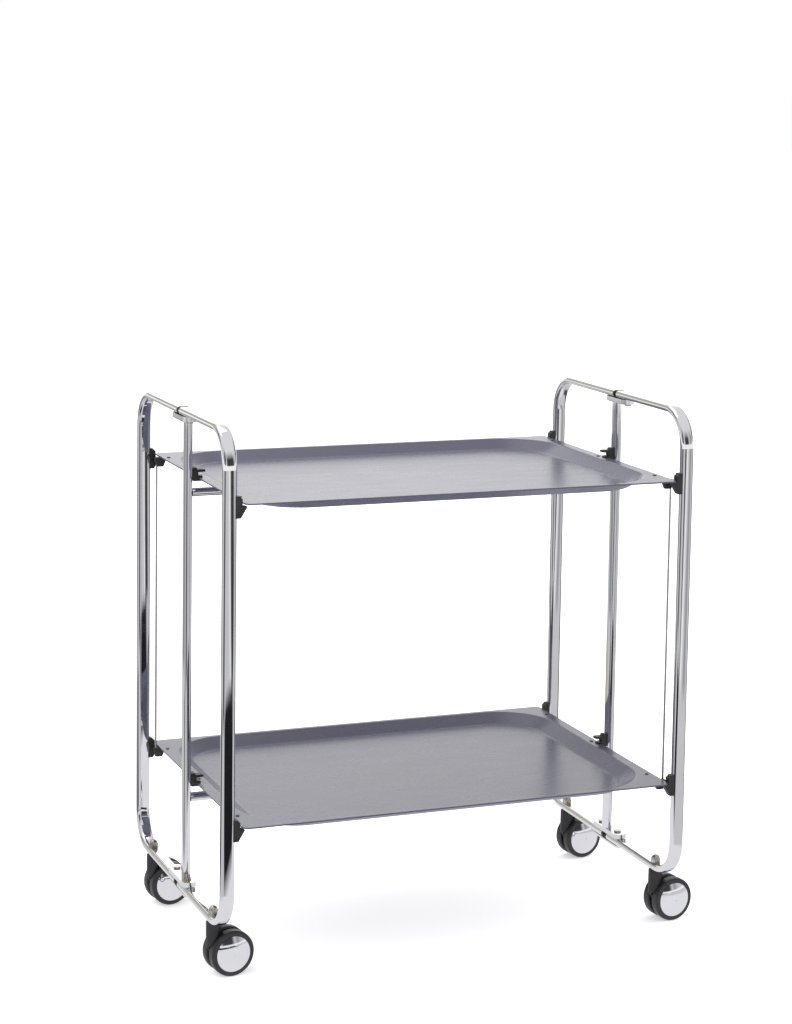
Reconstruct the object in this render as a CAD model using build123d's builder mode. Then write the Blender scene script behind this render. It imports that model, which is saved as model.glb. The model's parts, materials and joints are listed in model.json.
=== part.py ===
"""Folding bar cart on wheels.

Two end loops of flat-oval tube, each made of a front and a rear half, carry two pressed
trays between them. Every half turns on two vertical pins at its end's centre post and
stands on its own twin-wheel caster. Each tray lies over a rail, between catches on the
uprights, and lifts off upwards; two tie rods make both trays rise together.

X runs along the cart, Y from the front to the rear and Z up. The origin is on the floor,
in the middle of the box that holds the cart with its casters trailing towards +X.
"""
from build123d import *
from math import cos, radians, sin, tan
import os

os.makedirs("parts", exist_ok=True)

# ---- Driving dimensions, mm ---------------------------------------------------------
centre_x = -22.0            # middle of the frame, off the origin by half the casters' overhang
frame_length = 681.4        # over the outer edges of the two end loops
frame_depth = 425.2         # over the loops' uprights
loop_top = 748.7            # top of the end loops above the floor
loop_bottom = 75.5          # underside of the end loops above the floor

tube_width = 20.0           # flat-oval tube, long way
tube_thickness = 10.0       # flat-oval tube, short way
tube_wall = 1.5
bend_radius = 50.0          # of a loop's corner, on the tube's centreline
top_seam = 5.0              # from the middle of the end to the upper bar's cut end
bottom_seam = 8.0           # the same on the lower bar

hinge_offset = 26.0         # of a hinge pin from the middle of the end
pin_radius = 3.0
pin_hole_radius = 3.05
pin_head_radius = 5.0
pin_head_height = 2.2
plug_gap = 0.8              # between an end plug and the middle of the end
plug_depth = 11.0           # how far a plug reaches into its tube

channel_height = 7.0
channel_wall = 2.0
top_channel_length = 66.0
bottom_channel_length = 84.0
pivot_plate_thickness = 3.0
pivot_plate_width = 16.0
body_gap = 0.3              # between pieces that move past each other

tray_length = 624.0
tray_depth = 440.0
tray_sheet = 2.0
tray_corner_radius = 9.0
tray_inside_depth = 13.0
tray_wall_angle = 30.0      # of the sloping wall from level
end_lip = 16.0              # flat rim along the short edges
side_lip = 7.0              # flat rim along the long edges
bowl_corner_radius = 85.0
bowl_floor_fillet = 9.0
bowl_lip_fillet = 5.0
rim_heights = {"upper": 650.7, "lower": 222.0}
rail_below_rim = 20.7       # from the rim's top to the rail's centreline

catch_width = 10.0
catch_grip = 2.5            # how far a catch reaches round the upright's inner edge
catch_fit = 0.05            # between a catch and its upright
shelf_gap = 1.0             # between a catch's shelf and the tray above it
catch_above_rim = 9.0
catch_below_rim = 20.0
catch_lobe = 6.3            # how far the upper lobe stands in from the post
catch_wedge = 13.0          # how far the wedge reaches under the tray
shelf_fall = 2.0            # how far the shelf drops from the lobe to the wedge's tip
catch_toe = 4.0             # the wedge's width at its lower end

latch_width = 10.0
latch_above_rim = 14.0
latch_below_rim = 5.0
finger_length = 10.0
finger_thickness = 3.2
jaw_length = 8.0

rod_radius = 1.4
rod_inset = 4.4             # of a tie rod from the posts' inner face
rod_offset = 190.0          # of a tie rod from the cart's middle, front to rear
clip_width = 9.0
clip_height = 13.0
clip_length = 16.0
clip_block = 0.35           # the share of a clip's height above its taper
clip_foot = (0.62, 0.8)     # a clip's lower end, as shares of its length and width
clip_corner_radius = 2.0
clip_wall = 1.8             # of a clip round its rod
rivet_radius = 2.6
rivet_head_height = 0.8
rivet_inset = 8.5           # of a rivet from the tray's end edge
rivet_rows = {"rear": 172.0, "middle": 13.0, "front": -166.0}

stem_offset = 148.0         # of a caster's stem from the cart's middle, front to rear
stem_radius = 4.0
stem_collar_radius = 7.0
stem_collar_height = 1.0
stem_bottom = 57.0
nut_across_flats = 13.0
nut_hex_height = 5.0
nut_dome_radius = 6.0
nut_bore_depth = 7.0

wheel_radius = 31.0
wheel_width = 13.5
wheel_inner_face = 3.5      # from the caster's middle plane to a wheel's inner face
wheel_clearance = 0.8
tyre_edge_fillet = 2.8
caster_trail = 22.5         # from the stem's axis to the wheels' axle
caster_angle = 8.0          # of the rolling direction from +X towards +Y
neck_radius = 9.8
neck_bottom = 42.0
web_thickness = 6.4
web_radius = 24.0
axle_radius = 3.0
axle_bore_radius = 3.05
cap_radius = 24.2
cap_recess = 1.2
cap_rim = 0.2               # of a cap's rim over the wheel's face
cap_rise = 4.6              # of a cap's crown over the wheel's face

# ---- Derived places -----------------------------------------------------------------
ends = {"left": -1, "right": 1}
sides = {"front": -1, "rear": 1}
loop_offset = frame_length / 2 - tube_width / 2
upright_offset = frame_depth / 2 - tube_thickness / 2
upper_bar_z = loop_top - tube_thickness / 2
lower_bar_z = loop_bottom + tube_thickness / 2
inner_face = frame_length / 2 - tube_width
post_offset = inner_face + tube_thickness / 2
bore_width = tube_width - 2 * tube_wall
bore_thickness = tube_thickness - 2 * tube_wall
lower_channel_z = loop_bottom + tube_thickness + body_gap
lower_channel_top = lower_channel_z + channel_height
upper_channel_top = loop_top - tube_thickness - body_gap
upper_channel_z = upper_channel_top - channel_height
pivot_plate_z = loop_bottom - body_gap - pivot_plate_thickness
stem_hole_radius = stem_radius + 0.05
wheel_outer_face = wheel_inner_face + wheel_width
crown = cap_rise - cap_rim
dome_radius = (cap_radius**2 + crown**2) / (2 * crown)
roll = (cos(radians(caster_angle)), sin(radians(caster_angle)), 0)
axle = (sin(radians(caster_angle)), -cos(radians(caster_angle)), 0)
slope_run = 1 / tan(radians(tray_wall_angle))
wall_drop = tray_sheet / cos(radians(tray_wall_angle))
edge_gap = inner_face - tray_length / 2


def loop_plane(end_sign, side_sign):
    """The upright plane of an end loop, with x away from the cart's middle and y up."""
    return Plane(
        origin=(centre_x + end_sign * loop_offset, 0, 0),
        x_dir=(0, side_sign, 0),
        z_dir=(side_sign, 0, 0),
    )


def end_section(end_sign, side_sign, distance, height):
    """A plane across a loop's bar, looking away from the cart's middle."""
    return Plane(
        origin=(centre_x + end_sign * loop_offset, side_sign * distance, height),
        x_dir=(1, 0, 0),
        z_dir=(0, side_sign, 0),
    )


def inward_plane(end_sign, height, offset=0):
    """A plane along X with x pointing in from the posts' inner face and y up."""
    return Plane(
        origin=(centre_x + end_sign * inner_face, offset, height),
        x_dir=(-end_sign, 0, 0),
        z_dir=(0, end_sign, 0),
    )


# ---- Centre posts, rails and channels -----------------------------------------------
for end, end_sign in ends.items():
    post_x = centre_x + end_sign * post_offset
    with BuildPart() as post:
        with BuildSketch(Plane.XY.offset(lower_channel_top)):
            with Locations((post_x, 0)):
                SlotOverall(tube_width, tube_thickness, rotation=90)
                SlotOverall(bore_width, bore_thickness, rotation=90, mode=Mode.SUBTRACT)
        extrude(amount=upper_channel_z - lower_channel_top)
    post.part.label = f"{end}_post"
    export_step(post.part, f"parts/{end}_post.step")

for level, rim in rim_heights.items():
    with BuildPart() as rail:
        section = Plane(
            origin=(centre_x - inner_face, 0, rim - rail_below_rim),
            x_dir=(0, 1, 0),
            z_dir=(1, 0, 0),
        )
        with BuildSketch(section):
            SlotOverall(tube_width, tube_thickness)
            SlotOverall(bore_width, bore_thickness, mode=Mode.SUBTRACT)
        extrude(amount=2 * inner_face)
    rail.part.label = f"{level}_rail"
    export_step(rail.part, f"parts/{level}_rail.step")

channel_inside = tube_width - 2 * channel_wall
for name, length, floor_z, hollow_z in (
    ("top_channels", top_channel_length, upper_channel_z, upper_channel_z + channel_wall),
    ("bottom_channels", bottom_channel_length, lower_channel_z, lower_channel_z),
):
    with BuildPart() as channels:
        with BuildSketch(Plane.XY.offset(floor_z)):
            for end_sign in ends.values():
                with Locations((centre_x + end_sign * loop_offset, 0)):
                    SlotOverall(length, tube_width, rotation=90)
        extrude(amount=channel_height)
        with BuildSketch(Plane.XY.offset(hollow_z)):
            for end_sign in ends.values():
                with Locations((centre_x + end_sign * loop_offset, 0)):
                    SlotOverall(length - 2 * channel_wall, channel_inside, rotation=90)
        extrude(amount=channel_height - channel_wall, mode=Mode.SUBTRACT)
        with BuildSketch(Plane.XY.offset(floor_z)):
            for end_sign in ends.values():
                with Locations((centre_x + end_sign * loop_offset, 0)):
                    with GridLocations(1, 2 * hinge_offset, 1, 2):
                        Circle(pin_hole_radius)
        extrude(amount=channel_height, mode=Mode.SUBTRACT)
    channels.part.label = name
    export_step(channels.part, f"parts/{name}.step")

with BuildPart() as pivot_plates:
    with BuildSketch(Plane.XY.offset(pivot_plate_z)):
        for end_sign in ends.values():
            with Locations((centre_x + end_sign * loop_offset, 0)):
                SlotOverall(bottom_channel_length, pivot_plate_width, rotation=90)
                with GridLocations(1, 2 * hinge_offset, 1, 2):
                    Circle(pin_hole_radius, mode=Mode.SUBTRACT)
    extrude(amount=pivot_plate_thickness)
pivot_plates.part.label = "pivot_plates"
export_step(pivot_plates.part, "parts/pivot_plates.step")

# Every pin has a head against its channel; the lower ones are riveted under the plate.
upper_pin_top = loop_top - tube_wall - body_gap
with BuildPart() as hinge_pins:
    for end_sign in ends.values():
        for side_sign in sides.values():
            pin_xy = (centre_x + end_sign * loop_offset, side_sign * hinge_offset)
            for shaft_bottom, shaft_top, head_z in (
                (upper_channel_z, upper_pin_top, upper_channel_z - pin_head_height),
                (pivot_plate_z, lower_channel_top, lower_channel_top),
            ):
                with BuildSketch(Plane.XY.offset(shaft_bottom)):
                    with Locations(pin_xy):
                        Circle(pin_radius)
                extrude(amount=shaft_top - shaft_bottom)
                with BuildSketch(Plane.XY.offset(head_z)):
                    with Locations(pin_xy):
                        Circle(pin_head_radius)
                extrude(amount=pin_head_height)
            with BuildSketch(Plane.XY.offset(pivot_plate_z - pin_head_height / 2)):
                with Locations(pin_xy):
                    Circle(pin_head_radius - 1)
            extrude(amount=pin_head_height / 2)
hinge_pins.part.label = "hinge_pins"
export_step(hinge_pins.part, "parts/hinge_pins.step")

# ---- The four loop halves with their plugs, catches and caster stems ------------------
for end, end_sign in ends.items():
    loop_x = centre_x + end_sign * loop_offset
    for side, side_sign in sides.items():
        corner = f"{side}_{end}"

        with BuildPart() as loop:
            with BuildLine(loop_plane(end_sign, side_sign)):
                FilletPolyline(
                    (top_seam, upper_bar_z),
                    (upright_offset, upper_bar_z),
                    (upright_offset, lower_bar_z),
                    (bottom_seam, lower_bar_z),
                    radius=bend_radius,
                )
            with BuildSketch(end_section(end_sign, side_sign, top_seam, upper_bar_z)):
                SlotOverall(tube_width, tube_thickness)
                SlotOverall(bore_width, bore_thickness, mode=Mode.SUBTRACT)
            sweep()
            with BuildSketch(Plane.XY.offset(loop_bottom)):
                with Locations((loop_x, side_sign * hinge_offset)):
                    Circle(pin_hole_radius)
                with Locations((loop_x, side_sign * stem_offset)):
                    Circle(stem_hole_radius)
            extrude(amount=tube_thickness, mode=Mode.SUBTRACT)
            with BuildSketch(Plane.XY.offset(loop_top - tube_thickness)):
                with Locations((loop_x, side_sign * hinge_offset)):
                    Circle(pin_hole_radius)
            extrude(amount=tube_thickness / 2, mode=Mode.SUBTRACT)
        loop.part.label = f"{corner}_loop"
        export_step(loop.part, f"parts/{corner}_loop.step")

        # A plug's outer end is an arc about the hinge pin, so it turns without jamming.
        with BuildPart() as plugs:
            for seam, height in ((top_seam, upper_bar_z), (bottom_seam, lower_bar_z)):
                with BuildSketch(end_section(end_sign, side_sign, plug_gap, height)):
                    SlotOverall(tube_width, tube_thickness)
                extrude(amount=seam - plug_gap)
                with BuildSketch(end_section(end_sign, side_sign, seam, height)):
                    SlotOverall(bore_width - 0.1, bore_thickness - 0.1)
                extrude(amount=plug_depth)
            with BuildSketch(Plane.XY):
                with Locations((loop_x, side_sign * hinge_offset)):
                    Circle(hinge_offset - plug_gap)
            extrude(amount=loop_top, mode=Mode.INTERSECT)
        plugs.part.label = f"{corner}_end_plugs"
        export_step(plugs.part, f"parts/{corner}_end_plugs.step")

        # Each catch grips the upright's inner edge and reaches under the tray's rim.
        with BuildPart() as catches:
            for rim in rim_heights.values():
                shelf = -tray_sheet - shelf_gap
                with BuildSketch(inward_plane(end_sign, rim, side_sign * upright_offset)):
                    with BuildLine():
                        Polyline(
                            (catch_lobe / 2, catch_above_rim),
                            (-catch_grip, catch_above_rim),
                            (-catch_grip, -catch_below_rim),
                            (catch_toe, -catch_below_rim),
                            (catch_wedge, shelf - shelf_fall),
                            (catch_lobe, shelf),
                            (catch_lobe, catch_above_rim - catch_lobe / 2),
                        )
                        RadiusArc(
                            (catch_lobe, catch_above_rim - catch_lobe / 2),
                            (catch_lobe / 2, catch_above_rim),
                            catch_lobe / 2,
                        )
                    make_face()
                extrude(amount=catch_width / 2, both=True)
                with BuildSketch(Plane.XY.offset(rim - catch_below_rim)):
                    with Locations((loop_x, side_sign * upright_offset)):
                        SlotOverall(tube_width + 2 * catch_fit, tube_thickness + 2 * catch_fit)
                extrude(amount=catch_below_rim + catch_above_rim, mode=Mode.SUBTRACT)
        catches.part.label = f"{corner}_tray_catches"
        export_step(catches.part, f"parts/{corner}_tray_catches.step")

        # The stem stands fast in the lower bar under its dome nut; the caster turns on it.
        stem_xy = (loop_x, side_sign * stem_offset)
        bar_top = loop_bottom + tube_thickness
        stem_top = bar_top + nut_bore_depth - body_gap
        with BuildPart() as stem:
            with BuildSketch(Plane.XY.offset(stem_bottom)):
                with Locations(stem_xy):
                    Circle(stem_radius)
            extrude(amount=stem_top - stem_bottom)
            with BuildSketch(Plane.XY.offset(loop_bottom - stem_collar_height)):
                with Locations(stem_xy):
                    Circle(stem_collar_radius)
            extrude(amount=stem_collar_height)
            nut_top_plane = Plane(
                origin=(*stem_xy, bar_top + nut_hex_height),
                x_dir=(1, 0, 0),
                z_dir=(0, -1, 0),
            )
            with BuildSketch(nut_top_plane):
                with BuildLine():
                    Line((0, 0), (nut_dome_radius, 0))
                    RadiusArc((nut_dome_radius, 0), (0, nut_dome_radius), -nut_dome_radius)
                    Line((0, nut_dome_radius), (0, 0))
                make_face()
            revolve(axis=Axis((*stem_xy, 0), (0, 0, 1)))
            with BuildSketch(Plane.XY.offset(bar_top)):
                with Locations(stem_xy):
                    RegularPolygon(nut_across_flats / 2, 6, major_radius=False)
            extrude(amount=nut_hex_height)
            with BuildSketch(Plane.XY.offset(bar_top)):
                with Locations(stem_xy):
                    Circle(stem_hole_radius)
                    Circle(stem_radius, mode=Mode.SUBTRACT)
            extrude(amount=nut_bore_depth, mode=Mode.SUBTRACT)
            with BuildSketch(Plane.XY.offset(stem_top)):
                with Locations(stem_xy):
                    Circle(stem_hole_radius)
            extrude(amount=body_gap, mode=Mode.SUBTRACT)
        stem.part.label = f"{corner}_caster_stem"
        export_step(stem.part, f"parts/{corner}_caster_stem.step")

# ---- The four twin-wheel casters ------------------------------------------------------
neck_top = loop_bottom - stem_collar_height - body_gap
for end, end_sign in ends.items():
    for side, side_sign in sides.items():
        corner = f"{side}_{end}"
        stem_xy = (centre_x + end_sign * loop_offset, side_sign * stem_offset)
        axle_centre = (
            stem_xy[0] + caster_trail * roll[0],
            stem_xy[1] + caster_trail * roll[1],
            wheel_radius,
        )
        wheel_plane = Plane(origin=axle_centre, x_dir=roll, z_dir=axle)

        # The neck is cut back over the wheels; a web between them carries the axle.
        with BuildPart() as housing:
            with BuildSketch(Plane.XY.offset(neck_bottom)):
                with Locations(stem_xy):
                    Circle(neck_radius)
            extrude(amount=neck_top - neck_bottom)
            with BuildSketch(wheel_plane):
                Circle(wheel_radius + wheel_clearance)
            extrude(amount=wheel_outer_face, both=True, mode=Mode.SUBTRACT)
            with BuildSketch(wheel_plane):
                Circle(web_radius)
                with BuildLine():
                    Polyline(
                        (-caster_trail - neck_radius + 0.6, neck_bottom - wheel_radius),
                        (-caster_trail - neck_radius + 0.6, neck_top - wheel_radius - 4),
                        (-caster_trail + neck_radius - 0.6, neck_top - wheel_radius - 4),
                        (-caster_trail + neck_radius + 4, web_radius),
                        (0, web_radius - 2),
                        (-web_radius + 4, -web_radius / 2),
                        close=True,
                    )
                make_face()
            extrude(amount=web_thickness / 2, both=True)
            with BuildSketch(Plane.XY.offset(stem_bottom - body_gap)):
                with Locations(stem_xy):
                    Circle(stem_hole_radius)
            extrude(amount=neck_top - stem_bottom + body_gap, mode=Mode.SUBTRACT)
            with BuildSketch(wheel_plane):
                Circle(axle_bore_radius)
            extrude(amount=web_thickness, both=True, mode=Mode.SUBTRACT)
        housing.part.label = f"{corner}_caster_housing"
        export_step(housing.part, f"parts/{corner}_caster_housing.step")

        axle_half = wheel_outer_face - cap_recess - body_gap
        with BuildPart() as axle_pin:
            with BuildSketch(wheel_plane):
                Circle(axle_radius)
            extrude(amount=axle_half, both=True)
        axle_pin.part.label = f"{corner}_axle"
        export_step(axle_pin.part, f"parts/{corner}_axle.step")

        for place, facing in (("outer", -side_sign), ("inner", side_sign)):
            normal = tuple(facing * value for value in axle)
            face_plane = Plane(origin=axle_centre, x_dir=roll, z_dir=normal)
            with BuildPart() as wheel:
                with BuildSketch(face_plane.offset(wheel_inner_face)):
                    Circle(wheel_radius)
                extrude(amount=wheel_width)
                fillet(wheel.edges().filter_by(GeomType.CIRCLE), tyre_edge_fillet)
                with BuildSketch(face_plane.offset(wheel_outer_face - cap_recess)):
                    Circle(cap_radius + 0.4)
                extrude(amount=cap_recess, mode=Mode.SUBTRACT)
                with BuildSketch(face_plane.offset(wheel_inner_face)):
                    Circle(axle_bore_radius)
                extrude(amount=wheel_width, mode=Mode.SUBTRACT)
            wheel.part.label = f"{corner}_{place}_wheel"
            export_step(wheel.part, f"parts/{corner}_{place}_wheel.step")

            # Profile of the cap: x along the axle from the wheel's face, y away from it.
            cap_plane = Plane(
                origin=face_plane.offset(wheel_outer_face).origin,
                x_dir=normal,
                z_dir=Vector(*normal).cross(Vector(0, 0, 1)),
            )
            with BuildPart() as cap:
                with BuildSketch(cap_plane):
                    with BuildLine():
                        Polyline(
                            (cap_rise, 0),
                            (-cap_recess, 0),
                            (-cap_recess, cap_radius),
                            (cap_rim, cap_radius),
                        )
                        RadiusArc((cap_rim, cap_radius), (cap_rise, 0), dome_radius)
                    make_face()
                revolve(axis=Axis(axle_centre, normal))
            cap.part.label = f"{corner}_{place}_cap"
            export_step(cap.part, f"parts/{corner}_{place}_cap.step")


# ---- Trays, their latches, rivets, clips and tie rods ---------------------------------
# The bowl narrows downwards; its outside keeps the sheet's thickness from its inside.
bowl_length = tray_length - 2 * end_lip
bowl_depth = tray_depth - 2 * side_lip
outside_grow = (wall_drop - tray_sheet) * slope_run
inside_run = tray_inside_depth * slope_run
for level, rim in rim_heights.items():
    floor_z = rim - tray_inside_depth
    underside = floor_z - tray_sheet
    with BuildPart() as tray:
        for height, grow in (
            (rim - tray_sheet, outside_grow),
            (underside, outside_grow - inside_run),
        ):
            with BuildSketch(Plane((centre_x, 0, height))):
                RectangleRounded(
                    bowl_length + 2 * grow,
                    bowl_depth + 2 * grow,
                    bowl_corner_radius + grow,
                )
        loft(ruled=True)
        with BuildSketch(Plane((centre_x, 0, rim - tray_sheet))):
            RectangleRounded(tray_length, tray_depth, tray_corner_radius)
        extrude(amount=tray_sheet)
        for height, grow in ((rim, 0), (floor_z, -inside_run)):
            with BuildSketch(Plane((centre_x, 0, height))):
                RectangleRounded(
                    bowl_length + 2 * grow,
                    bowl_depth + 2 * grow,
                    bowl_corner_radius + grow,
                )
        loft(ruled=True, mode=Mode.SUBTRACT)
        flat_faces = tray.faces().filter_by(Axis.Z)
        inside_floor = flat_faces.filter_by_position(Axis.Z, floor_z - 0.1, floor_z + 0.1)
        fillet(inside_floor.edges(), bowl_floor_fillet)
        outside_floor = tray.faces().sort_by(Axis.Z)[0]
        fillet(outside_floor.edges(), bowl_floor_fillet + tray_sheet)
        lip_top = tray.faces().filter_by(Axis.Z).sort_by(Axis.Z)[-1]
        fillet(lip_top.inner_wires().edges(), bowl_lip_fillet)
        with BuildSketch(Plane.XY.offset(rim - tray_sheet)):
            for end_sign in ends.values():
                rivet_x = centre_x + end_sign * (tray_length / 2 - rivet_inset)
                for row in rivet_rows.values():
                    with Locations((rivet_x, row)):
                        Circle(rivet_radius / 2)
        extrude(amount=tray_sheet, mode=Mode.SUBTRACT)
    tray.part.label = f"{level}_tray"
    export_step(tray.part, f"parts/{level}_tray.step")

    # A latch grips the middle of each end edge and reaches for the post beside it.
    with BuildPart() as latches:
        for end_sign in ends.values():
            with BuildSketch(inward_plane(end_sign, rim)):
                with BuildLine():
                    Polyline(
                        (body_gap, -latch_below_rim + 2),
                        (body_gap, latch_above_rim - 2),
                        (2, latch_above_rim),
                        (edge_gap - 2.5, latch_above_rim),
                        (edge_gap - 1.5, latch_above_rim - 3),
                        (edge_gap + finger_length - 1, latch_above_rim - 3),
                        (edge_gap + finger_length, latch_above_rim - 4),
                        (edge_gap + finger_length, latch_above_rim - 3 - finger_thickness),
                        (edge_gap, latch_above_rim - 3.6 - finger_thickness),
                        (edge_gap, 3),
                        (edge_gap + jaw_length - 2, 2),
                        (edge_gap + jaw_length - 2, 0.05),
                        (edge_gap - 0.1, 0.05),
                        (edge_gap - 0.1, -tray_sheet - 0.05),
                        (edge_gap + jaw_length, -tray_sheet - 0.05),
                        (edge_gap + jaw_length - 3, -latch_below_rim),
                        (2, -latch_below_rim),
                        close=True,
                    )
                make_face()
            extrude(amount=latch_width / 2, both=True)
    latches.part.label = f"{level}_latches"
    export_step(latches.part, f"parts/{level}_latches.step")

    with BuildPart() as rivets:
        for end_sign in ends.values():
            rivet_x = centre_x + end_sign * (tray_length / 2 - rivet_inset)
            for row in rivet_rows.values():
                with BuildSketch(Plane.XY.offset(rim - tray_sheet)):
                    with Locations((rivet_x, row)):
                        Circle(rivet_radius / 2 - 0.02)
                extrude(amount=tray_sheet)
                for head_z in (rim, rim - tray_sheet - rivet_head_height):
                    with BuildSketch(Plane.XY.offset(head_z)):
                        with Locations((rivet_x, row)):
                            Circle(rivet_radius)
                    extrude(amount=rivet_head_height)
    rivets.part.label = f"{level}_tray_rivets"
    export_step(rivets.part, f"parts/{level}_tray_rivets.step")

    # Clips hang under the rim at two opposite corners and hold the ends of the tie rods.
    clip_top = rim - tray_sheet - 0.05
    foot_length = clip_length * clip_foot[0]
    foot_width = clip_width * clip_foot[1]
    with BuildPart() as clips:
        for end_sign, side_sign in ((-1, 1), (1, -1)):
            rod_x = centre_x + end_sign * (inner_face - rod_inset)
            clip_x = rod_x - end_sign * (clip_length / 2 - rod_radius - clip_wall)
            with BuildSketch(Plane.XY.offset(clip_top - clip_height)):
                with Locations((clip_x, side_sign * rod_offset)):
                    RectangleRounded(foot_length, foot_width, clip_corner_radius)
            with BuildSketch(Plane.XY.offset(clip_top - clip_height * clip_block)):
                with Locations((clip_x, side_sign * rod_offset)):
                    RectangleRounded(clip_length, clip_width, clip_corner_radius)
            loft()
            with BuildSketch(Plane.XY.offset(clip_top - clip_height * clip_block)):
                with Locations((clip_x, side_sign * rod_offset)):
                    RectangleRounded(clip_length, clip_width, clip_corner_radius)
            extrude(amount=clip_height * clip_block)
            with BuildSketch(Plane.XY.offset(clip_top - clip_height)):
                with Locations((rod_x, side_sign * rod_offset)):
                    Circle(rod_radius + 0.05)
            extrude(amount=clip_height, mode=Mode.SUBTRACT)
    clips.part.label = f"{level}_rod_clips"
    export_step(clips.part, f"parts/{level}_rod_clips.step")

# The rods run from clip to clip, so the lower tray rises with the upper one.
rod_bottom = rim_heights["lower"] - tray_sheet - clip_height
rod_top = rim_heights["upper"] - tray_sheet - body_gap
with BuildPart() as tie_rods:
    with BuildSketch(Plane.XY.offset(rod_bottom)):
        for end_sign, side_sign in ((-1, 1), (1, -1)):
            with Locations((centre_x + end_sign * (inner_face - rod_inset), side_sign * rod_offset)):
                Circle(rod_radius)
    extrude(amount=rod_top - rod_bottom)
tie_rods.part.label = "tie_rods"
export_step(tie_rods.part, "parts/tie_rods.step")
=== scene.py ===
import json
import math
import bpy
import bmesh
from mathutils import Matrix, Vector


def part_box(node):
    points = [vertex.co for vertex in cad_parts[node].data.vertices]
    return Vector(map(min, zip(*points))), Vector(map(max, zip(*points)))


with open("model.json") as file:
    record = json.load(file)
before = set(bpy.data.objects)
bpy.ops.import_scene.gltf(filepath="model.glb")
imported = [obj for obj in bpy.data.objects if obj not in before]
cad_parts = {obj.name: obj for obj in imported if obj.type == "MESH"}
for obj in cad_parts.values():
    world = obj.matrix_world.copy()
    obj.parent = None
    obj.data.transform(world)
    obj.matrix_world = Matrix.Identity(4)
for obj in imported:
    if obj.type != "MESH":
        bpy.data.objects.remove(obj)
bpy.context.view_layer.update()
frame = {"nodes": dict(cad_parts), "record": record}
nodes = frame["nodes"]
MIDDLE_X = (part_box("upper_rail")[0][0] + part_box("upper_rail")[1][0]) / 2

# ---- Values, metres and radians ---------------------------------------------------------
CAMERA_PLACE = (-1.2669, -3.1240, 1.1976)
CAMERA_TURN = 0.3729          # from +Y towards +X
CAMERA_DIP = 0.1086           # below level
CAMERA_ROLL = 0.0146
CAMERA_LENS = 84.434          # mm
SENSOR = 36.0                 # mm, along the long side of the picture
CAMERA_SHIFT = -0.1680
NEAR_CLIP, FAR_CLIP = 0.05, 60

SHARP_ANGLE = math.radians(32)  # edges sharper than this stay crisp
FLOOR_RADIUS = 40
FLOOR_SIDES = 96
FLOOR_GLOW = 0.42             # lightens the floor in the trays' shade
REFLECTED_HEIGHT = 0.0004     # of the reflected floor over the real one


# ---- Node helpers -------------------------------------------------------------------------
def new_material(name):
    """A node material, its tree and its shader."""
    material = bpy.data.materials.new(name)
    material.use_nodes = True
    tree = material.node_tree
    return material, tree, tree.nodes["Principled BSDF"]


def object_coords(tree, scale=(1, 1, 1)):
    coords = tree.nodes.new("ShaderNodeTexCoord")
    mapping = tree.nodes.new("ShaderNodeMapping")
    mapping.inputs["Scale"].default_value = scale
    tree.links.new(coords.outputs["Object"], mapping.inputs["Vector"])
    return mapping.outputs["Vector"]


def noise(tree, vector, scale, detail=3.0, roughness=0.5):
    node = tree.nodes.new("ShaderNodeTexNoise")
    node.inputs["Scale"].default_value = scale
    node.inputs["Detail"].default_value = detail
    node.inputs["Roughness"].default_value = roughness
    tree.links.new(vector, node.inputs["Vector"])
    return node.outputs["Fac"]


def spread(tree, factor, low, high, start=0.35, stop=0.65):
    """Maps a value between start and stop onto the range from low to high."""
    node = tree.nodes.new("ShaderNodeMapRange")
    node.inputs["From Min"].default_value = start
    node.inputs["From Max"].default_value = stop
    node.inputs["To Min"].default_value = low
    node.inputs["To Max"].default_value = high
    tree.links.new(factor, node.inputs["Value"])
    return node.outputs["Result"]


def two_tones(tree, factor, dark, light, start=0.35, stop=0.65):
    node = tree.nodes.new("ShaderNodeValToRGB")
    node.color_ramp.elements[0].position = start
    node.color_ramp.elements[0].color = (*dark, 1)
    node.color_ramp.elements[1].position = stop
    node.color_ramp.elements[1].color = (*light, 1)
    tree.links.new(factor, node.inputs["Fac"])
    return node.outputs["Color"]


def maths(tree, operation, first, second=None):
    """A maths node on one or two values, each a socket or a number."""
    node = tree.nodes.new("ShaderNodeMath")
    node.operation = operation
    for slot, value in enumerate((first, second)):
        if isinstance(value, (int, float)):
            node.inputs[slot].default_value = value
        elif value is not None:
            tree.links.new(value, node.inputs[slot])
    return node.outputs["Value"]


def bump(tree, height, strength, distance, shader):
    node = tree.nodes.new("ShaderNodeBump")
    node.inputs["Strength"].default_value = strength
    node.inputs["Distance"].default_value = distance
    tree.links.new(height, node.inputs["Height"])
    tree.links.new(node.outputs["Normal"], shader.inputs["Normal"])


# ---- Materials ------------------------------------------------------------------------------
CROWN = 12.0                  # rise of a crowned face, per metre, with the square of the distance
LOOP_OFFSET = abs(sum(corner[0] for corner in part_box("front_right_loop")) / 2 - MIDDLE_X)


def tube_offset(tree, along):
    """How far a point lies from the middle of its tube's wide face, in metres."""
    coords = tree.nodes.new("ShaderNodeTexCoord")
    split = tree.nodes.new("ShaderNodeSeparateXYZ")
    tree.links.new(coords.outputs["Object"], split.inputs["Vector"])
    if along == "Y":
        return split.outputs["Y"]
    from_middle = maths(tree, "SUBTRACT", split.outputs["X"], MIDDLE_X)
    return maths(tree, "SUBTRACT", maths(tree, "ABSOLUTE", from_middle), LOOP_OFFSET)


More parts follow.
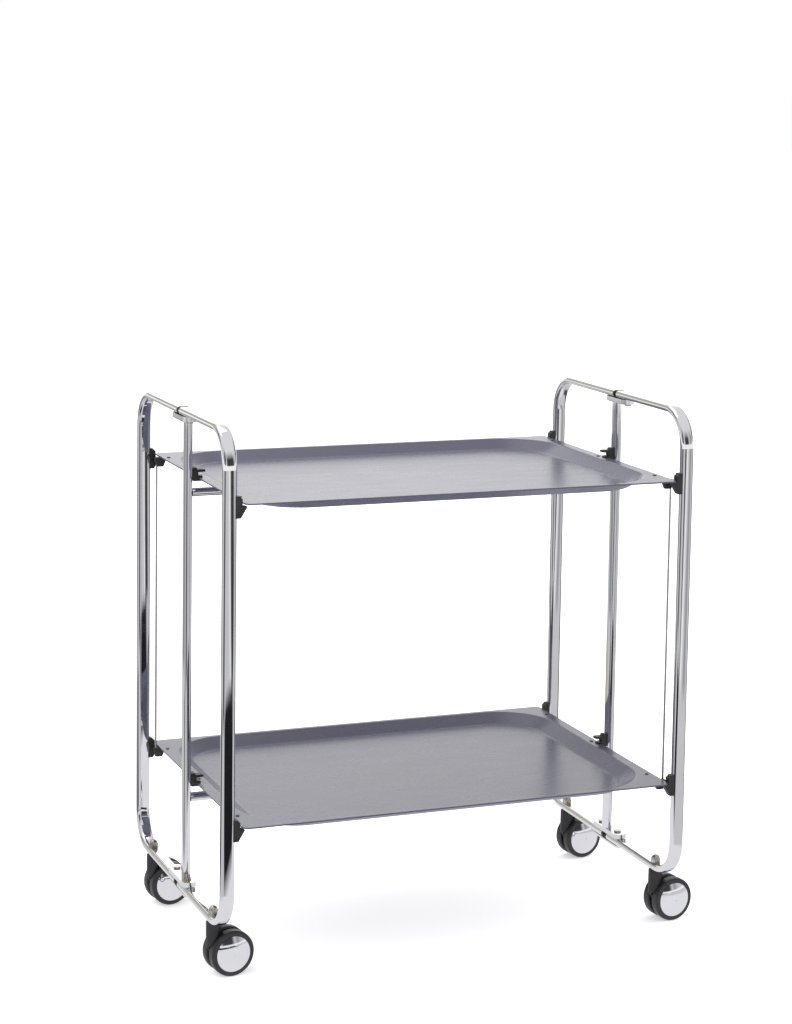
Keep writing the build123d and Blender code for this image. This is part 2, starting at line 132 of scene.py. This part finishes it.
def crowned(tree, shader, along):
    """Gives the wide faces of a flat-oval tube their slight outward curve."""
    offset = tube_offset(tree, along)
    height = maths(tree, "MULTIPLY", maths(tree, "MULTIPLY", offset, offset), -CROWN)
    node = tree.nodes.new("ShaderNodeBump")
    node.inputs["Strength"].default_value = 1.0
    node.inputs["Distance"].default_value = 1.0
    tree.links.new(height, node.inputs["Height"])
    ripple = shader.inputs["Normal"].links[0].from_node
    tree.links.new(node.outputs["Normal"], ripple.inputs["Normal"])


def chrome(name, tone, roughness=0.035, ripple=0.04, crown_along=None):
    """Bright plating: slight haze in patches and the faint ripple of a drawn tube."""
    material, tree, shader = new_material(name)
    shader.inputs["Metallic"].default_value = 1.0
    fine = object_coords(tree)
    haze = noise(tree, fine, 16, 5)
    dull = tuple(c * 0.95 for c in tone)
    tree.links.new(two_tones(tree, haze, dull, tone), shader.inputs["Base Color"])
    rub = noise(tree, fine, 55, 6, 0.6)
    tree.links.new(
        spread(tree, rub, roughness, roughness + 0.05, 0.45, 0.8), shader.inputs["Roughness"]
    )
    drawn = object_coords(tree, (1, 1, 0.12))
    bump(tree, noise(tree, drawn, 70, 2), ripple, 0.0006, shader)
    if crown_along:
        crowned(tree, shader, crown_along)
    return material


def fastener_metal():
    """Zinc-plated turned steel, a little warm, with fine turning marks."""
    material, tree, shader = new_material("fastener_metal")
    shader.inputs["Metallic"].default_value = 1.0
    fine = object_coords(tree)
    patch = noise(tree, fine, 180, 4)
    tree.links.new(
        two_tones(tree, patch, (0.42, 0.37, 0.29), (0.66, 0.63, 0.58)),
        shader.inputs["Base Color"],
    )
    tree.links.new(spread(tree, patch, 0.16, 0.34), shader.inputs["Roughness"])
    turned = object_coords(tree, (1, 1, 14))
    bump(tree, noise(tree, turned, 220, 2), 0.25, 0.0003, shader)
    return material


def rod_metal():
    """Drawn steel rod with lengthwise scratches."""
    material, tree, shader = new_material("rod_metal")
    shader.inputs["Metallic"].default_value = 1.0
    streaks = object_coords(tree, (1, 1, 0.02))
    streak = noise(tree, streaks, 900, 3)
    tree.links.new(
        two_tones(tree, streak, (0.42, 0.42, 0.43), (0.62, 0.62, 0.63)),
        shader.inputs["Base Color"],
    )
    tree.links.new(spread(tree, streak, 0.22, 0.4), shader.inputs["Roughness"])
    bump(tree, streak, 0.2, 0.0002, shader)
    return material


def enamel():
    """Satin lilac-grey enamel: orange peel, faint mottling and a few fine scuffs."""
    material, tree, shader = new_material("enamel")
    fine = object_coords(tree)
    cloud = noise(tree, fine, 5, 4)
    base = two_tones(tree, cloud, (0.072, 0.070, 0.108), (0.078, 0.076, 0.116), 0.3, 0.7)
    speck = noise(tree, fine, 900, 2)
    grain = two_tones(tree, speck, (0.97, 0.97, 0.97), (1.0, 1.0, 1.0), 0.3, 0.55)
    mix = tree.nodes.new("ShaderNodeMix")
    mix.data_type = "RGBA"
    mix.blend_type = "MULTIPLY"
    mix.inputs["Factor"].default_value = 1.0
    tree.links.new(base, mix.inputs["A"])
    tree.links.new(grain, mix.inputs["B"])
    tree.links.new(mix.outputs["Result"], shader.inputs["Base Color"])
    scuffs = noise(tree, object_coords(tree, (0.35, 1, 1)), 38, 8, 0.62)
    tree.links.new(spread(tree, scuffs, 0.27, 0.295, 0.4, 0.7), shader.inputs["Roughness"])
    bump(tree, noise(tree, fine, 420, 2), 0.012, 0.0004, shader)
    return material


def moulded(name, tone, roughness, grain_scale, grain):
    """Moulded black plastic or rubber: spark-eroded grain and slight wear."""
    material, tree, shader = new_material(name)
    fine = object_coords(tree)
    wear = noise(tree, fine, 60, 6, 0.65)
    light = tuple(c * 1.9 + 0.004 for c in tone)
    tree.links.new(two_tones(tree, wear, tone, light, 0.42, 0.78), shader.inputs["Base Color"])
    tree.links.new(
        spread(tree, wear, roughness, roughness + 0.16, 0.4, 0.75), shader.inputs["Roughness"]
    )
    bump(tree, noise(tree, fine, grain_scale, 3), grain, 0.0004, shader)
    return material


FINISHES = {
    "chrome_tube": chrome("chrome_tube", (0.86, 0.86, 0.87), crown_along="X"),
    "bracket_steel": chrome("bracket_chrome", (0.80, 0.80, 0.79), 0.07, 0.08),
    "cap_chrome": chrome("cap_chrome", (0.88, 0.88, 0.90), 0.05, 0.02),
    "fastener_steel": fastener_metal(),
    "rod_steel": rod_metal(),
    "tray_enamel": enamel(),
    "black_plastic": moulded("black_plastic", (0.010, 0.010, 0.011), 0.42, 1400, 0.22),
    "tyre_black": moulded("tyre_black", (0.012, 0.012, 0.013), 0.36, 900, 0.10),
}

STRAIGHT_TUBE = chrome("chrome_straight_tube", (0.86, 0.86, 0.87), crown_along="Y")
STRAIGHT_TUBES = ("left_post", "right_post", "upper_rail", "lower_rail")


def finish_node(name, slot):
    obj = nodes[name]
    obj.data.materials.clear()
    obj.data.materials.append(STRAIGHT_TUBE if name in STRAIGHT_TUBES else FINISHES[slot])
    obj.data.shade_smooth()
    obj.data.set_sharp_from_angle(angle=SHARP_ANGLE)


for entry in frame["record"]["subparts"]:
    finish_node(entry["node"], entry["material_slot"])


# ---- Studio -----------------------------------------------------------------------------------
def mix_colour(tree, factor, first, second):
    """Blends two colours, each a socket or a tone, by a factor socket."""
    node = tree.nodes.new("ShaderNodeMix")
    node.data_type = "RGBA"
    tree.links.new(factor, node.inputs["Factor"])
    for socket, value in ((node.inputs["A"], first), (node.inputs["B"], second)):
        if isinstance(value, tuple):
            socket.default_value = (*value, 1)
        else:
            tree.links.new(value, socket)
    return node.outputs["Result"]


def compass(tree, split, stops):
    """A tone by direction round the cart: degrees from +Y, growing towards +X."""
    turn = maths(tree, "ARCTAN2", split.outputs["X"], split.outputs["Y"])
    ramp = tree.nodes.new("ShaderNodeValToRGB")
    tree.links.new(spread(tree, turn, 0, 1, -math.pi, math.pi), ramp.inputs["Fac"])
    bands = ramp.color_ramp
    bands.elements[0].color = (*stops[0][1], 1)
    bands.elements[1].position = 1.0
    bands.elements[1].color = (*stops[-1][1], 1)
    for degrees, tone in stops[1:-1]:
        band = bands.elements.new((degrees + 180) / 360)
        band.color = (*tone, 1)
    return ramp.outputs["Color"]


# Tones by direction round the cart, placed so that the chrome picks up streaks of light
# and dark. WALLS is what stands round it, PAPER the floor near it and FAR_PAPER the floor beyond.
BLACK = (0.015, 0.015, 0.018)
DARK = (0.05, 0.05, 0.055)
GREY = (0.30, 0.30, 0.31)
PALE = (0.62, 0.62, 0.64)
BRIGHT = (1.75, 1.75, 1.72)
OVERHEAD = (0.78, 0.78, 0.80)
WHITE = (1.0, 1.0, 1.0)
WARM = (0.46, 0.44, 0.37)
WALLS = (
    (-180, PALE), (-150, PALE), (-138, DARK), (-112, DARK), (-100, PALE), (-62, PALE),
    (-50, DARK), (-40, GREY), (-30, WARM), (-12, WARM), (0, BRIGHT), (22, BRIGHT), (44, PALE),
    (60, PALE), (68, DARK), (92, DARK), (102, PALE), (128, PALE), (140, GREY), (146, PALE),
    (153, DARK), (174, DARK), (180, PALE),
)
PAPER = (
    (-180, BLACK), (-150, BLACK), (-140, PALE), (-100, PALE), (-88, DARK), (-70, DARK),
    (-60, PALE), (-20, PALE), (-8, WARM), (12, WARM), (24, PALE), (60, PALE), (72, DARK),
    (88, DARK), (98, PALE), (160, PALE), (168, BLACK), (180, BLACK),
)
FAR_PAPER = (
    (-180, PALE), (-150, PALE), (-138, GREY), (-124, DARK), (-110, DARK), (-98, PALE),
    (-60, PALE), (-50, DARK), (-40, GREY), (-24, GREY), (-10, PALE), (0, WHITE), (30, WHITE),
    (52, PALE), (64, DARK), (86, DARK), (98, PALE), (132, PALE), (141, GREY), (147, PALE),
    (154, WHITE), (158, DARK), (167, DARK), (171, WHITE), (176, PALE), (180, PALE),
)
DOME_FRONT = (0.68, 0.68, 0.70)
DOME_REAR = (1.45, 1.45, 1.45)
DOME_TOP = (1.85, 1.85, 1.85)
FLOOR_NEAR = (0.82, 0.82, 0.85)          # of the reflected floor, under the cart
WHITE_BEYOND = (5.2, 5.7)                # where the reflected floor turns white, m
DARK_RING = (0.62, 0.74, 1.62, 1.80)     # where its panelled ring starts and ends, m


def studio_world():
    """White to the camera, a soft dome to matt surfaces, and panelled walls to shiny ones."""
    world = bpy.data.worlds.new("studio")
    world.use_nodes = True
    bpy.context.scene.world = world
    tree = world.node_tree
    coords = tree.nodes.new("ShaderNodeTexCoord")
    split = tree.nodes.new("ShaderNodeSeparateXYZ")
    tree.links.new(coords.outputs["Generated"], split.inputs["Vector"])
    walls = compass(tree, split, WALLS)
    walls = mix_colour(tree, spread(tree, split.outputs["Z"], 0, 1, 0.03, 0.07), WHITE, walls)
    overhead = spread(tree, split.outputs["Z"], 0, 1, 0.34, 0.66)
    panelled = mix_colour(tree, overhead, walls, OVERHEAD)
    rear = spread(tree, split.outputs["Y"], 0, 1, -0.7, 0.6)
    dome = mix_colour(tree, rear, DOME_FRONT, DOME_REAR)
    dome = mix_colour(tree, spread(tree, split.outputs["Z"], 0, 1, 0.35, 0.95), dome, DOME_TOP)
    path = tree.nodes.new("ShaderNodeLightPath")
    lit = mix_colour(tree, path.outputs["Is Glossy Ray"], dome, panelled)
    seen = mix_colour(tree, path.outputs["Is Camera Ray"], lit, WHITE)
    tree.links.new(seen, tree.nodes["Background"].inputs["Color"])


studio_world()


def stage_disc(name, radius, height, material):
    mesh = bpy.data.meshes.new(name)
    shape = bmesh.new()
    bmesh.ops.create_circle(shape, cap_ends=True, radius=radius, segments=FLOOR_SIDES)
    bmesh.ops.translate(shape, verts=shape.verts, vec=(0, 0, height))
    shape.to_mesh(mesh)
    shape.free()
    disc = bpy.data.objects.new(name, mesh)
    bpy.context.scene.collection.objects.link(disc)
    mesh.materials.append(material)
    return disc


def studio_paper():
    material, tree, shader = new_material("studio_paper")
    fine = object_coords(tree)
    tree.links.new(
        two_tones(tree, noise(tree, fine, 3, 4), (0.91, 0.91, 0.915), (0.93, 0.93, 0.935)),
        shader.inputs["Base Color"],
    )
    shader.inputs["Roughness"].default_value = 0.8
    shader.inputs["Specular IOR Level"].default_value = 0.1
    shader.inputs["Emission Color"].default_value = (*WHITE, 1)
    shader.inputs["Emission Strength"].default_value = FLOOR_GLOW
    return material


def mirrored_paper():
    """The paper as the metal sees it: pale near the cart, a dark band, then the set's panels."""
    material = bpy.data.materials.new("mirrored_paper")
    material.use_nodes = True
    tree = material.node_tree
    tree.nodes.clear()
    coords = tree.nodes.new("ShaderNodeTexCoord")
    split = tree.nodes.new("ShaderNodeSeparateXYZ")
    tree.links.new(coords.outputs["Object"], split.inputs["Vector"])
    length = tree.nodes.new("ShaderNodeVectorMath")
    length.operation = "LENGTH"
    tree.links.new(coords.outputs["Object"], length.inputs[0])
    band = compass(tree, split, PAPER)
    rising = spread(tree, length.outputs["Value"], 0, 1, *DARK_RING[:2])
    falling = spread(tree, length.outputs["Value"], 0, 1, *DARK_RING[2:])
    tone = mix_colour(tree, rising, FLOOR_NEAR, band)
    tone = mix_colour(tree, falling, tone, compass(tree, split, FAR_PAPER))
    tone = mix_colour(tree, spread(tree, length.outputs["Value"], 0, 1, *WHITE_BEYOND), tone, WHITE)
    glow = tree.nodes.new("ShaderNodeEmission")
    tree.links.new(tone, glow.inputs["Color"])
    out = tree.nodes.new("ShaderNodeOutputMaterial")
    tree.links.new(glow.outputs["Emission"], out.inputs["Surface"])
    return material


stage_disc("studio_floor", FLOOR_RADIUS, 0, studio_paper())
reflected = stage_disc("reflected_floor", FLOOR_RADIUS, REFLECTED_HEIGHT, mirrored_paper())
for ray in ("camera", "diffuse", "transmission", "volume_scatter", "shadow"):
    setattr(reflected, f"visible_{ray}", False)


def soft_light(name, place, aim, size, power):
    data = bpy.data.lights.new(name, "AREA")
    data.shape = "RECTANGLE"
    data.size, data.size_y = size
    data.energy = power
    light = bpy.data.objects.new(name, data)
    light.location = place
    light.rotation_mode = "QUATERNION"
    light.rotation_quaternion = (Vector(aim) - Vector(place)).to_track_quat("-Z", "Y")
    bpy.context.scene.collection.objects.link(light)


soft_light("overhead", (-0.6, 1.0, 3.0), (0, 0, 0.3), (2.4, 1.8), 14)


# ---- Camera -----------------------------------------------------------------------------------
def make_camera():
    data = bpy.data.cameras.new("camera")
    camera = bpy.data.objects.new("camera", data)
    bpy.context.scene.collection.objects.link(camera)
    data.sensor_width = SENSOR
    data.lens = CAMERA_LENS
    data.shift_y = CAMERA_SHIFT
    data.clip_start, data.clip_end = NEAR_CLIP, FAR_CLIP
    flat = math.cos(CAMERA_DIP)
    forward = Vector(
        (math.sin(CAMERA_TURN) * flat, math.cos(CAMERA_TURN) * flat, -math.sin(CAMERA_DIP))
    )
    right = Vector((math.cos(CAMERA_TURN), -math.sin(CAMERA_TURN), 0))
    up = right.cross(forward)
    c, s = math.cos(CAMERA_ROLL), math.sin(CAMERA_ROLL)
    rolled_right = c * right + s * up
    rolled_up = -s * right + c * up
    turn = Matrix((rolled_right, rolled_up, -forward)).transposed()
    camera.rotation_mode = "QUATERNION"
    camera.rotation_quaternion = turn.to_quaternion()
    camera.location = CAMERA_PLACE
    bpy.context.scene.camera = camera


make_camera()
bpy.context.scene.view_settings.view_transform = "Standard"
